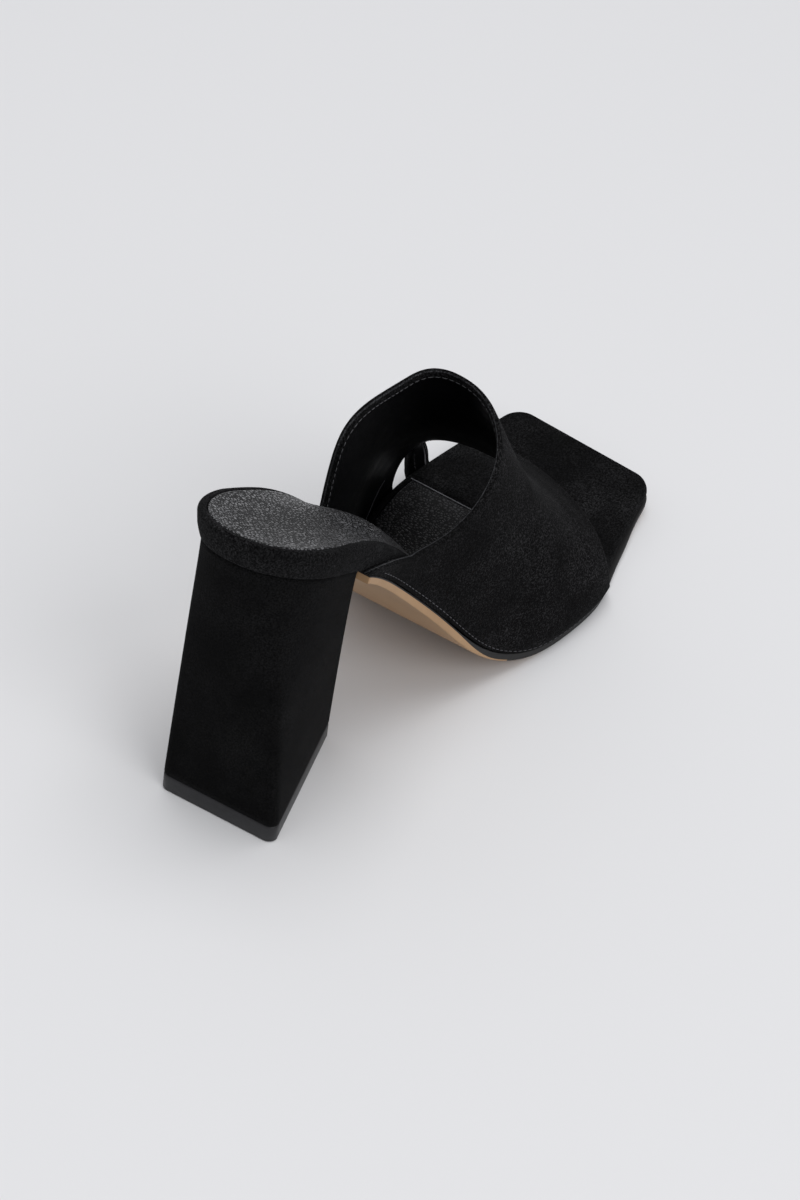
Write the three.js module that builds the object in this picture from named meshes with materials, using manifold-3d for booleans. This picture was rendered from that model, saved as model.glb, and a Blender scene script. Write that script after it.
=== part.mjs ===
// High-heeled mule shoe for the right foot, standing on the floor.
// X runs from the heel towards the toe, Y towards the inner side of the foot, Z up. Lengths in millimetres.
import * as THREE from 'three';
import { mergeVertices } from 'three/addons/utils/BufferGeometryUtils.js';
import Module from 'manifold-3d';

const wasm = await Module();
wasm.setup();

// Driving sizes of the last
const shoeLength = 213.2;      // back of the heel seat to the middle of the toe line, along the floor
const seatHeight = 110;        // top of the footbed at the back of the heel
const seatWidth = 40.6;
const waistWidth = 31;
const ballWidth = 77;
const toeWidth = 55;
const toeSpring = 3;
const toeSlant = 5.2;          // degrees by which the inner corner of the toe leads
const toeCorner = 6.5;         // radius of the toe's corners, seen from above
const instepHeight = 58;        // room from the footbed to the lining at the instep
const instepTilt = 22;         // degrees by which the steepest arch leans forward
const crownShift = 2.7;        // the ridge of the instep lies this far to the inner side

// Thicknesses and small sizes
const rimThickness = 8.5;      // padded footbed, at the heel
const boardThickness = 4.5;    // footbed under the ball and the toes
const outsoleThickness = 2.6;
const outsoleLedge = 0.9;      // outsole edge, past the footbed's side where the upper stands on it
const outsoleBevel = 0.5;
const edgeTuck = 1.4;          // the footbed's side and the upper curl in by this down to the outsole
const edgeRound = 1.8;         // rolled top edge of the footbed
const rimWidth = 2.6;          // suede rim between the footbed's side and the sock
const sockThickness = 1;
const seatCup = 1.4;           // depth of the heel seat's dish
const waistCrown = 4.4;        // the middle of the footbed stands above its edges by this under the waist
const wallThickness = 2.2;     // suede, reinforcement and lining of the upper
const jointGap = 0.3;          // between pieces that meet

// Heel, measured at the floor from the back of the seat
const breastStation = 40.2;    // front of the heel, under the footbed
const heelBackSet = 8.5;
const heelFrontSet = 54.8;
const heelFrontOuter = 6.9;
const heelFrontInner = 10.4;
const heelCorner = 2.6;
const heelTurn = 2;            // degrees by which the heel's back edge is turned, its inner end further back
const heelInset = 2;           // heel cover, inside the footbed's rim
const heelFlare = 1.1;         // the heel's back is this much wider on each side at the floor
const topPieceThickness = 5.9;
const topPieceBevel = 0.5;
const sideBow = 0.9;           // power below 1: the heel's sides bow out on the way down

// Where the sock ends, and the small arched cut-out beside the inner strap
const sockEnd = 162.2;
const cutRear = 157;
const cutFront = 166.2;
const cutHeight = 13;          // above the footbed
const cutLean = 3.2;           // the cut-out's top leans back from the strap by this
const cutShoulder = 0.8;       // its back curve bulges at this share of the height

// Section of the room inside the upper: a smaller power is squarer at the side, or fuller at the top
const sideFullness = 0.94;
const topFullness = 0.86;

const degree = Math.PI / 180;
const ballHeight = outsoleThickness + jointGap + boardThickness;
const sockRecess = sockThickness + jointGap;
const seatRound = 0.127 * shoeLength;
const heelBackHalf = seatWidth / 2 - heelInset + heelFlare;
const seatPower = 2.15;
const roundOff = 1 - Math.SQRT1_2;   // how far the middle of a quarter round lies inside its corner

// Footbed from the side: rise is a share of seatHeight above the ball, spring a share of toeSpring,
// board runs from 0, the forepart's thickness, to 1, the heel's, lean is how far layers tilt with the slope,
// and crown is a share of waistCrown
const sideTable = [
  { station: 0.000, rise: 1.000, spring: 0.0, board: 1.00, lean: 0.0, crown: 0.00 },
  { station: 0.119, rise: 0.889, spring: 0.0, board: 1.00, lean: 0.0, crown: 0.00 },
  { station: 0.232, rise: 0.753, spring: 0.0, board: 1.00, lean: 0.4, crown: 0.30 },
  { station: 0.323, rise: 0.576, spring: 0.0, board: 1.00, lean: 1.0, crown: 0.85 },
  { station: 0.413, rise: 0.354, spring: 0.0, board: 0.85, lean: 1.0, crown: 1.00 },
  { station: 0.504, rise: 0.103, spring: 0.0, board: 0.40, lean: 1.0, crown: 0.50 },
  { station: 0.594, rise: 0.004, spring: 0.0, board: 0.03, lean: 1.0, crown: 0.00 },
  { station: 0.682, rise: 0.000, spring: 0.0, board: 0.00, lean: 1.0, crown: 0.00 },
  { station: 0.821, rise: 0.000, spring: 0.0, board: 0.00, lean: 1.0, crown: 0.00 },
  { station: 0.920, rise: 0.000, spring: 0.4, board: 0.00, lean: 1.0, crown: 0.00 },
  { station: 1.000, rise: 0.000, spring: 1.0, board: 0.00, lean: 1.0, crown: 0.00 },
];

// Footbed from above: outer and inner are shares of the width that the row follows
const planTable = [
  { station: 0.127, follows: seatWidth, outer: 0.500, inner: 0.500 },
  { station: 0.232, follows: seatWidth, outer: 0.476, inner: 0.447 },
  { station: 0.323, follows: waistWidth, outer: 0.605, inner: 0.480 },
  { station: 0.413, follows: ballWidth, outer: 0.317, inner: 0.211 },
  { station: 0.504, follows: ballWidth, outer: 0.394, inner: 0.308 },
  { station: 0.617, follows: ballWidth, outer: 0.494, inner: 0.427 },
  { station: 0.730, follows: ballWidth, outer: 0.522, inner: 0.470 },
  { station: 0.843, follows: toeWidth, outer: 0.630, inner: 0.605 },
  { station: 1.000, follows: toeWidth, outer: 0.522, inner: 0.455 },
];

// Room inside the upper: arch is a share of instepHeight above the footbed, tilt a share of instepTilt
const archTable = [
  { station: 0.205, arch: 0.720, tilt: 0.70 },
  { station: 0.284, arch: 0.882, tilt: 0.90 },
  { station: 0.383, arch: 1.045, tilt: 1.00 },
  { station: 0.473, arch: 1.140, tilt: 0.85 },
  { station: 0.572, arch: 0.962, tilt: 0.50 },
  { station: 0.662, arch: 0.680, tilt: 0.20 },
  { station: 0.751, arch: 0.430, tilt: 0.05 },
  { station: 0.851, arch: 0.370, tilt: 0.00 },
];

// The band's back and front edges as shares of shoeLength. turn goes over the foot in degrees: 0 and 180 are
// the footbed's outer and inner edges, and a side wall of 10 degrees goes on down to the outsole
const wallTurn = 10;
const bandTable = [
  { turn: -wallTurn, back: 0.192, front: 0.780 },
  { turn: 0, back: 0.320, front: 0.754 },
  { turn: 20, back: 0.399, front: 0.742 },
  { turn: 50, back: 0.451, front: 0.758 },
  { turn: 90, back: 0.474, front: 0.773 },
  { turn: 130, back: 0.434, front: 0.749 },
  { turn: 158, back: 0.340, front: 0.791 },
  { turn: 180, back: 0.357, front: 0.819 },
  { turn: 180 + wallTurn, back: 0.376, front: 0.820 },
];

// Smooth curve through one column of a table, without overshoot between its rows
function curveThrough(rows, key, column) {
  const xs = rows.map((row) => row[key]);
  const ys = rows.map((row) => (row.follows ?? 1) * row[column]);
  const last = xs.length - 1;
  const rates = xs.slice(1).map((x, i) => (ys[i + 1] - ys[i]) / (x - xs[i]));
  const tangents = xs.map((x, i) => {
    if (i === 0) return rates[0];
    if (i === last) return rates[last - 1];
    const [before, after] = [rates[i - 1], rates[i]];
    return before * after <= 0 ? 0 : (2 * before * after) / (before + after);
  });
  return (x) => {
    const clamped = THREE.MathUtils.clamp(x, xs[0], xs[last]);
    let i = 0;
    while (i < last - 1 && clamped > xs[i + 1]) i += 1;
    const width = xs[i + 1] - xs[i];
    const t = (clamped - xs[i]) / width;
    const blend = t * t * (3 - 2 * t);
    const leave = t * (1 - t) * (1 - t) * width;
    const arrive = t * t * (t - 1) * width;
    return ys[i] * (1 - blend) + ys[i + 1] * blend + leave * tangents[i] + arrive * tangents[i + 1];
  };
}

// The same curve with its bends eased over a reach to both sides, carried straight on past its ends
function easedCurve(rows, key, column, reach) {
  const curve = curveThrough(rows, key, column);
  const [low, high] = [rows[0][key], rows[rows.length - 1][key]];
  const carried = (x) => {
    if (x < low) return 2 * curve(low) - curve(2 * low - x);
    if (x > high) return 2 * curve(high) - curve(2 * high - x);
    return curve(x);
  };
  const samples = [[-1, 1], [-0.5, 2], [0, 2], [0.5, 2], [1, 1]];
  return (x) => samples.reduce((sum, [at, weight]) => sum + (weight / 8) * carried(x + at * reach), 0);
}

const alongReach = 0.045;      // easing along the shoe, as a share of its length
const turnReach = 10;          // easing over the foot, in degrees
const riseShare = easedCurve(sideTable, 'station', 'rise', alongReach);
const springShare = easedCurve(sideTable, 'station', 'spring', alongReach);
const boardShare = easedCurve(sideTable, 'station', 'board', alongReach);
const leanShare = easedCurve(sideTable, 'station', 'lean', alongReach);
const crownShare = easedCurve(sideTable, 'station', 'crown', alongReach);
const archShare = easedCurve(archTable, 'station', 'arch', 1.5 * alongReach);
const tiltShare = easedCurve(archTable, 'station', 'tilt', 1.5 * alongReach);
const planWidth = {
  outer: easedCurve(planTable, 'station', 'outer', alongReach),
  inner: easedCurve(planTable, 'station', 'inner', alongReach),
};
const bandBack = easedCurve(bandTable, 'turn', 'back', turnReach);
const bandFront = easedCurve(bandTable, 'turn', 'front', turnReach);

function bedHeight(x) {
  const u = x / shoeLength;
  return ballHeight + riseShare(u) * (seatHeight - ballHeight) + springShare(u) * toeSpring;
}

function bedSlope(x) {
  const step = 0.5;
  const low = Math.max(x - step, 0);
  const high = Math.min(x + step, shoeLength);
  return Math.atan((bedHeight(low) - bedHeight(high)) / (high - low));
}

function footbedThickness(x) {
  return THREE.MathUtils.lerp(boardThickness, rimThickness, boardShare(x / shoeLength));
}

// Half width of the footbed on one side, grown outwards: round at the seat, rounded corners at the toe
function halfWidth(side, x, grow) {
  if (x < seatRound) {
    const away = Math.min((seatRound - x) / (seatRound + grow), 1);
    return (seatWidth / 2 + grow) * (1 - away ** seatPower) ** (1 / seatPower);
  }
  const radius = toeCorner + grow;
  const intoCorner = Math.max(x - (shoeLength + grow - radius), 0);
  const cornerLoss = radius - Math.sqrt(Math.max(radius ** 2 - intoCorner ** 2, 0));
  return planWidth[side](x / shoeLength) + grow - cornerLoss;
}

// A point of the shoe from its place along, across and above the footbed
function place(x, y, lift, tilt = bedSlope(x) * leanShare(x / shoeLength)) {
  const reach = lift / Math.cos(bedSlope(x) - tilt);
  const skew = Math.tan(toeSlant * degree) * THREE.MathUtils.smoothstep(x / shoeLength, 0.6, 1);
  return [x + skew * y + reach * Math.sin(tilt), y, bedHeight(x) + reach * Math.cos(tilt)];
}

// A closed surface put together from rows of points
class Shell {
  constructor() {
    this.points = [];
    this.faces = [];
  }

  row(points) {
    return points.map((point) => this.points.push(point) - 1);
  }

  quad(a, b, c, d) {
    this.faces.push([a, b, c], [a, c, d]);
  }

  strip(first, second, closed) {
    const count = closed ? first.length : first.length - 1;
    for (let i = 0; i < count; i += 1) {
      const next = (i + 1) % first.length;
      this.quad(first[i], first[next], second[next], second[i]);
    }
  }

  // Joins two lines across the shoe, where one may be a plain end line of two points
  join(first, second) {
    if (first.length === second.length) {
      this.strip(first, second, false);
      return;
    }
    const [short, long, turned] = first.length < second.length ? [first, second, true] : [second, first, false];
    const middle = Math.floor(long.length / 2);
    const face = (a, b, c) => this.faces.push(turned ? [a, c, b] : [a, b, c]);
    for (let i = 0; i < middle; i += 1) face(long[i], long[i + 1], short[0]);
    face(long[middle], short[1], short[0]);
    for (let i = middle; i < long.length - 1; i += 1) face(long[i], long[i + 1], short[1]);
  }

  // Fills a loop whose first half is the outer side and second half the inner side, line by line across.
  // middles gives the points between the two ends of a line, and facing is 1 for a top and -1 for an underside
  fill(loop, middles, facing) {
    const half = loop.length / 2;
    const lines = [];
    for (let i = 0; i < half; i += 1) {
      const between = i === 0 || i === half - 1 ? [] : this.row(middles(i));
      lines.push([loop[i], ...between, loop[loop.length - 1 - i]]);
    }
    for (let i = 0; i < half - 1; i += 1) {
      if (facing > 0) this.join(lines[i + 1], lines[i]);
      else this.join(lines[i], lines[i + 1]);
    }
  }

  geometry() {
    const corners = this.faces.flat().flatMap((index) => this.points[index]);
    const loose = new THREE.BufferGeometry();
    loose.setAttribute('position', new THREE.Float32BufferAttribute(corners, 3));
    const merged = mergeVertices(loose, 2e-3);
    const index = merged.index.array;
    const kept = [];
    for (let i = 0; i < index.length; i += 3) {
      const [a, b, c] = index.slice(i, i + 3);
      if (a !== b && b !== c && c !== a) kept.push(a, b, c);
    }
    merged.setIndex(kept);
    return facingOut(merged);
  }
}

// Turns the triangles round if the surface encloses a negative volume
function facingOut(geometry) {
  const [position, index] = [geometry.attributes.position, geometry.index.array];
  const corner = (i) => new THREE.Vector3().fromBufferAttribute(position, i);
  let volume = 0;
  for (let i = 0; i < index.length; i += 3) {
    volume += corner(index[i]).dot(corner(index[i + 1]).cross(corner(index[i + 2]))) / 6;
  }
  if (volume < 0) geometry.setIndex(Array.from(index).reverse());
  return geometry;
}

// Places along the shoe for one contour, from its front end to its back end. They are counted from the back,
// so that layers over each other share them
function stations(grow, from, to) {
  const list = [];
  const spacing = 4;
  const shortest = 1.5;
  const seatSteps = [90, 75, 60, 47, 35, 24, 14, 6];
  const toeSteps = [86, 66, 44, 22];
  const roundToe = to === undefined;
  const front = roundToe ? shoeLength - toeCorner : to;
  const roundSeat = from === undefined;
  const back = roundSeat ? seatRound : from;
  if (roundToe) toeSteps.forEach((angle) => list.push(front + (toeCorner + grow) * Math.sin(angle * degree)));
  list.push(front);
  const count = Math.floor((front - back - shortest) / spacing);
  for (let i = count; i > 0; i -= 1) list.push(back + i * spacing);
  if (roundSeat) seatSteps.forEach((angle) => list.push(seatRound - (seatRound + grow) * Math.cos(angle * degree)));
  else list.push(back);
  return list;
}

// Contour of the footbed, grown and lifted: the outer side from front to back, then the inner side to the front
function contour(grow, lift, from, to, extra = []) {
  const xs = [...stations(grow, from, to), ...extra].sort((a, b) => b - a);
  const liftAt = (x) => (typeof lift === 'function' ? lift(x) : lift);
  const outer = xs.map((x) => place(x, -halfWidth('outer', x, grow), liftAt(x)));
  const inner = xs.map((x) => place(x, halfWidth('inner', x, grow), liftAt(x)));
  return { xs, points: [...outer, ...inner.reverse()] };
}

// Stacks contours from the underside to the top and fills both ends
function stack(contours, topMiddles = () => []) {
  const shell = new Shell();
  const loops = contours.map((entry) => shell.row(entry.points));
  for (let i = 1; i < loops.length; i += 1) shell.strip(loops[i - 1], loops[i], true);
  shell.fill(loops[0], () => [], -1);
  shell.fill(loops[loops.length - 1], topMiddles, 1);
  return shell.geometry();
}

// Points across the footbed, sunk by the heel seat's dish, which fades out where the waist's crown rises
function dishedLine(x, grow, lift) {
  const dish = seatCup * (1 - THREE.MathUtils.smoothstep(x / shoeLength, 0.1, 0.35));
  const [outer, inner] = [halfWidth('outer', x, grow), halfWidth('inner', x, grow)];
  const crown = waistCrown * crownShare(x / shoeLength);
  const acrossShares = [-0.75, -0.4, 0, 0.4, 0.75];
  return acrossShares.map((share) => {
    const y = share < 0 ? share * outer : share * inner;
    const inward = 1 - share ** 2;
    return place(x, y, lift + crown * inward ** 2 - dish * inward);
  });
}

function makeInsole() {
  const recess = (x) => (x > sockEnd ? 0 : -sockRecess);
  const stepWidth = 0.1;
  const steps = [sockEnd, sockEnd + stepWidth];
  const ring = (grow, lift) => contour(grow, lift, undefined, undefined, steps);
  const curl = 0.7;
  const floor = ring(-rimWidth, recess);
  const contours = [
    ring(-edgeTuck, (x) => -footbedThickness(x)),
    ring(-edgeTuck * curl ** 2, (x) => -curl * footbedThickness(x)),
    ring(-edgeTuck * (edgeRound / boardThickness) ** 2, -edgeRound),
    ring(-roundOff * edgeRound, -roundOff * edgeRound),
    ring(-edgeRound, 0),
    ring(-rimWidth, 0),
    floor,
  ];
  return stack(contours, (i) => dishedLine(floor.xs[i], -rimWidth, recess(floor.xs[i])));
}

function makeSock() {
  const inset = -(rimWidth + jointGap);
  const end = sockEnd - jointGap;
  const bottom = contour(inset, jointGap - sockRecess, undefined, end);
  const top = contour(inset, 0, undefined, end);
  const shell = new Shell();
  const [low, high] = [shell.row(bottom.points), shell.row(top.points)];
  shell.strip(low, high, true);
  shell.fill(low, (i) => dishedLine(bottom.xs[i], -rimWidth, jointGap - sockRecess), -1);
  shell.fill(high, (i) => dishedLine(top.xs[i], inset, 0), 1);
  return shell.geometry();
}

// The outsole starts at the heel breast, is flat on the floor under the ball and keeps its bevelled edge
function makeOutsole() {
  const under = -footbedThickness(breastStation) - jointGap;
  const [breastX, , breastZ] = place(breastStation, 0, under);
  const [lowX, , lowZ] = place(breastStation, 0, under - outsoleThickness);
  const down = (breastZ - lowZ) / (breastZ - topPieceThickness - jointGap);
  const back = breastStation + THREE.MathUtils.lerp(breastX, heelFrontSet, down) - lowX + 2.2 * jointGap;
  const top = (x) => -footbedThickness(x) - jointGap;
  const ledge = (x) => outsoleLedge * THREE.MathUtils.smoothstep(0.94 - x / shoeLength, 0, 0.08);
  const ring = (inset, drop) => {
    const xs = stations(-inset, back);
    const [outer, inner] = [['outer', -1], ['inner', 1]].map(([side, sign]) => (
      xs.map((x) => place(x, sign * (halfWidth(side, x, -inset) + ledge(x)), top(x) - drop))
    ));
    return { xs, points: [...outer, ...inner.reverse()] };
  };
  return stack([ring(outsoleBevel, outsoleThickness), ring(0, outsoleThickness - outsoleBevel), ring(0, 0)]);
}

// Points along the heel's outline: along each side and along each half of the back, which starts at centreHalf
const heelSteps = { side: 6, back: 5 };
const centreHalf = 0.4;

// Outline of the heel's foot: a four-sided shape with small corners, from the outer front round to the inner front
function heelFoot(grow) {
  const [back, front] = [heelBackSet - grow, heelFrontSet + grow];
  const outline = [];
  const halves = [
    { sign: -1, front: heelFrontOuter + grow },
    { sign: 1, front: heelFrontInner + grow },
  ];
  for (const { sign, front: frontHalf } of halves) {
    const points = [];
    const backHalf = heelBackHalf + grow;
    const turnIn = (backHalf - frontHalf) / (front - back);
    for (let i = 0; i <= heelSteps.side; i += 1) {
      const x = THREE.MathUtils.lerp(front, back + heelCorner, i / heelSteps.side);
      points.push([x, backHalf - turnIn * (x - back)]);
    }
    points.push([back + roundOff * heelCorner, backHalf - roundOff * heelCorner]);
    for (let i = 0; i < heelSteps.back; i += 1) {
      points.push([back, THREE.MathUtils.lerp(backHalf - heelCorner, centreHalf, i / heelSteps.back)]);
    }
    const placed = points.map(([x, y]) => [x - Math.tan(heelTurn * degree) * sign * y, sign * y]);
    outline.push(sign < 0 ? placed : placed.reverse());
  }
  return outline.flat();
}

// Outline of the heel cover under the footbed, with as many points as its foot
function heelHead() {
  const cornerAngle = 42;
  const cornerStep = 4;
  const centreAngle = 2;
  const angles = [cornerAngle - cornerStep];
  for (let i = 0; i < heelSteps.back; i += 1) {
    angles.push(THREE.MathUtils.lerp(cornerAngle - 1.5 * cornerStep, centreAngle, i / heelSteps.back));
  }
  const cornerX = seatRound - (seatRound - heelInset) * Math.cos(cornerAngle * degree);
  const xs = [];
  for (let i = 0; i <= heelSteps.side; i += 1) {
    xs.push(THREE.MathUtils.lerp(breastStation, cornerX, i / heelSteps.side));
  }
  for (const angle of angles) xs.push(seatRound - (seatRound - heelInset) * Math.cos(angle * degree));
  const outer = xs.map((x) => [x, -halfWidth('outer', x, -heelInset)]);
  const inner = xs.map((x) => [x, halfWidth('inner', x, -heelInset)]);
  return [...outer, ...inner.reverse()];
}

function makeHeelBlock() {
  const base = topPieceThickness + jointGap;
  const levels = 10;
  const [head, foot] = [heelHead(), heelFoot(0)];
  const heads = head.map(([x, y]) => place(x, y, -footbedThickness(x) - jointGap));
  const contours = [];
  for (let level = 0; level <= levels; level += 1) {
    const down = 1 - level / levels;
    const points = heads.map((top, i) => [
      THREE.MathUtils.lerp(top[0], foot[i][0], down),
      THREE.MathUtils.lerp(top[1], foot[i][1], down ** sideBow),
      THREE.MathUtils.lerp(top[2], base, down),
    ]);
    contours.push({ points });
  }
  return stack(contours);
}

function makeTopPiece() {
  const level = (grow, z) => ({ points: heelFoot(grow).map(([x, y]) => [x, y, z]) });
  return stack([
    level(-topPieceBevel, 0),
    level(0, topPieceBevel),
    level(0, topPieceThickness),
  ]);
}

// A point of the upper: turn goes over the foot, share from the collar to the front edge, grow off the footbed
function bandPoint(turn, share, grow) {
  const x = shoeLength * THREE.MathUtils.lerp(bandBack(turn), bandFront(turn), share);
  const side = turn < 90 ? 'outer' : 'inner';
  const sign = turn < 90 ? -1 : 1;
  const half = halfWidth(side, x, grow);
  const past = Math.max(-turn, turn - 180, 0) / wallTurn;
  if (past > 0) return place(x, sign * (half - edgeTuck * past ** 2), -past * footbedThickness(x));
  const angle = turn * degree;
  const across = Math.abs(Math.cos(angle)) ** sideFullness;
  const above = Math.sin(angle) ** topFullness;
  const tilt = tiltShare(x / shoeLength) * instepTilt * degree;
  const height = (archShare(x / shoeLength) * instepHeight + grow) * Math.cos(bedSlope(x) - tilt);
  return place(x, sign * half * across + crownShift * Math.sin(angle) ** 2, height * above, tilt);
}

function makeBand() {
  const turnSteps = 30;
  const wallSteps = 5;
  const shareSteps = 26;
  const turns = [];
  for (let i = -wallSteps; i < 0; i += 1) turns.push(wallTurn * i / wallSteps);
  for (let i = 0; i <= turnSteps; i += 1) turns.push(180 * i / turnSteps);
  for (let i = 1; i <= wallSteps; i += 1) turns.push(180 + wallTurn * i / wallSteps);
  const shell = new Shell();
  const face = (grow) => turns.map((turn) => {
    const row = [];
    for (let i = 0; i <= shareSteps; i += 1) row.push(bandPoint(turn, i / shareSteps, grow));
    return shell.row(row);
  });
  const lining = face(jointGap);
  const suede = face(jointGap + wallThickness);
  for (let i = 1; i < turns.length; i += 1) {
    shell.strip(lining[i - 1], lining[i], false);
    shell.strip(suede[i], suede[i - 1], false);
  }
  const edges = (i) => [lining.map((row) => row[i]), suede.map((row) => row[i])];
  const [backLining, backSuede] = edges(0);
  const [frontLining, frontSuede] = edges(shareSteps);
  shell.strip(backLining, backSuede, false);
  shell.strip(frontSuede, frontLining, false);
  shell.strip(suede[0], lining[0], false);
  shell.strip(lining[turns.length - 1], suede[turns.length - 1], false);
  return shell.geometry();
}

// Arched opening through the inner side wall: straight along the strap, curved at the back
function makeCutter() {
  const base = -1;
  const bed = bedHeight(cutRear);
  const top = bed + cutHeight;
  const outline = new THREE.Shape();
  outline.moveTo(cutRear, base);
  outline.lineTo(cutFront, base);
  outline.lineTo(cutFront, bed);
  outline.lineTo(cutFront - cutLean, top);
  outline.quadraticCurveTo(cutRear + cutLean / 2, bed + cutShoulder * cutHeight, cutRear, bed);
  const depth = 0.5 * ballWidth;
  const cutter = new THREE.ExtrudeGeometry(outline, { depth, bevelEnabled: false, curveSegments: 8 });
  cutter.rotateX(90 * degree);
  cutter.translate(0, depth + 0.2 * ballWidth, 0);
  return cutter;
}

function toManifold(geometry) {
  const bare = new THREE.BufferGeometry();
  bare.setAttribute('position', geometry.attributes.position.clone());
  if (geometry.index) bare.setIndex(geometry.index.clone());
  const merged = mergeVertices(bare, 1e-4);
  return new wasm.Manifold(new wasm.Mesh({
    numProp: 3,
    vertProperties: new Float32Array(merged.attributes.position.array),
    triVerts: new Uint32Array(merged.index.array),
  }));
}

function fromManifold(solid) {
  const mesh = solid.getMesh();
  const geometry = new THREE.BufferGeometry();
  geometry.setAttribute('position', new THREE.Float32BufferAttribute(mesh.vertProperties, 3));
  geometry.setIndex(Array.from(mesh.triVerts));
  return geometry;
}

function makeUpper() {
  return fromManifold(toManifold(makeBand()).subtract(toManifold(makeCutter())));
}

const finishes = {
  suede: { color: 0x17171a, roughness: 0.95, metalness: 0 },
  leather: { color: 0x1c1c1f, roughness: 0.5, metalness: 0 },
  outsole: { color: 0xc79d76, roughness: 0.6, metalness: 0 },
  rubber: { color: 0x1a1a1c, roughness: 0.7, metalness: 0 },
};

const shoe = new THREE.Group();
shoe.position.x = -(heelBackSet + heelFrontSet) / 2;

function addPiece(name, geometry, finish) {
  const flat = geometry.toNonIndexed();
  flat.computeVertexNormals();
  const mesh = new THREE.Mesh(flat, new THREE.MeshStandardMaterial(finishes[finish]));
  mesh.name = name;
  shoe.add(mesh);
}

addPiece('heel_top_piece', makeTopPiece(), 'rubber');
addPiece('heel_block', makeHeelBlock(), 'suede');
addPiece('outsole', makeOutsole(), 'outsole');
addPiece('insole', makeInsole(), 'suede');
addPiece('sock', makeSock(), 'leather');
addPiece('upper', makeUpper(), 'suede');

export default shoe;
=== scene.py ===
# Black suede block-heel mule, right foot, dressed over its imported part
import math
import bmesh
import bpy
import numpy as np
from mathutils import Matrix, Vector


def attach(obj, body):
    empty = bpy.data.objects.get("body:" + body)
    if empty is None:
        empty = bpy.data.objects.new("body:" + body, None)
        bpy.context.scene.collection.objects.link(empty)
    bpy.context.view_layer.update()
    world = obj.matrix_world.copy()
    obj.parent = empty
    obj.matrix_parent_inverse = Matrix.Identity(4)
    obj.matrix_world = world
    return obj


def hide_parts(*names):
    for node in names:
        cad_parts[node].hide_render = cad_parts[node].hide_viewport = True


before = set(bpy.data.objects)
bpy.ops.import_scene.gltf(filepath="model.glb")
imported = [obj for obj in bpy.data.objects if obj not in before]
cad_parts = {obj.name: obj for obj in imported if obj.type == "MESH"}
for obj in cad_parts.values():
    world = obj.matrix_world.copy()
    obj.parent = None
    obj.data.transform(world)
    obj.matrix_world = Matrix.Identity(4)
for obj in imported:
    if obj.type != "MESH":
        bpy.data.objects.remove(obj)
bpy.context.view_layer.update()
mm = 0.001
degree = math.pi / 180

# The last's sizes in millimetres, from the back of the seat towards the toe
last = {
    "length": 213.2, "seatHeight": 110, "seatWidth": 40.6, "waistWidth": 31, "ballWidth": 77, "toeWidth": 55,
    "toeSpring": 3, "toeSlant": 5.2, "toeCorner": 6.5, "instepHeight": 58, "instepTilt": 22,
    "crownShift": 2.7, "rim": 8.5, "board": 4.5, "sole": 2.6, "gap": 0.3, "tuck": 1.4, "wall": 2.2,
    "seatRound": 0.127, "seatPower": 2.15, "sideFullness": 0.94, "topFullness": 0.86,
    "cup": 2.2, "cupFades": (0.1, 0.35), "crown": 4.4, "slantFrom": 0.6,
}
length = last["length"]
ballHeight = last["sole"] + last["gap"] + last["board"]

# Footbed from the side: station, rise, spring, board, lean and crown, as shares
sideRows = np.array([
    (0.000, 1.000, 0.0, 1.00, 0.0, 0.00),
    (0.119, 0.889, 0.0, 1.00, 0.0, 0.00),
    (0.232, 0.753, 0.0, 1.00, 0.4, 0.30),
    (0.323, 0.576, 0.0, 1.00, 1.0, 0.85),
    (0.413, 0.354, 0.0, 0.85, 1.0, 1.00),
    (0.504, 0.103, 0.0, 0.40, 1.0, 0.50),
    (0.594, 0.004, 0.0, 0.03, 1.0, 0.00),
    (0.682, 0.000, 0.0, 0.00, 1.0, 0.00),
    (0.821, 0.000, 0.0, 0.00, 1.0, 0.00),
    (0.920, 0.000, 0.4, 0.00, 1.0, 0.00),
    (1.000, 0.000, 1.0, 0.00, 1.0, 0.00),
])

# Footbed from above: station, the width a row follows, and its outer and inner shares
planRows = [
    (0.127, "seatWidth", 0.500, 0.500),
    (0.232, "seatWidth", 0.476, 0.447),
    (0.323, "waistWidth", 0.605, 0.480),
    (0.413, "ballWidth", 0.317, 0.211),
    (0.504, "ballWidth", 0.394, 0.308),
    (0.617, "ballWidth", 0.494, 0.427),
    (0.730, "ballWidth", 0.522, 0.470),
    (0.843, "toeWidth", 0.630, 0.605),
    (1.000, "toeWidth", 0.522, 0.455),
]

# Room inside the band: station, arch and tilt
archRows = np.array([
    (0.205, 0.720, 0.70),
    (0.284, 0.882, 0.90),
    (0.383, 1.045, 1.00),
    (0.473, 1.140, 0.85),
    (0.572, 0.962, 0.50),
    (0.662, 0.680, 0.20),
    (0.751, 0.430, 0.05),
    (0.851, 0.370, 0.00),
])

# The band's edges: turn over the foot in degrees, back and front stations
bandRows = np.array([
    (-10, 0.192, 0.780),
    (0, 0.320, 0.754),
    (20, 0.399, 0.742),
    (50, 0.451, 0.758),
    (90, 0.474, 0.773),
    (130, 0.434, 0.749),
    (158, 0.340, 0.791),
    (180, 0.357, 0.819),
    (190, 0.376, 0.820),
])


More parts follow.
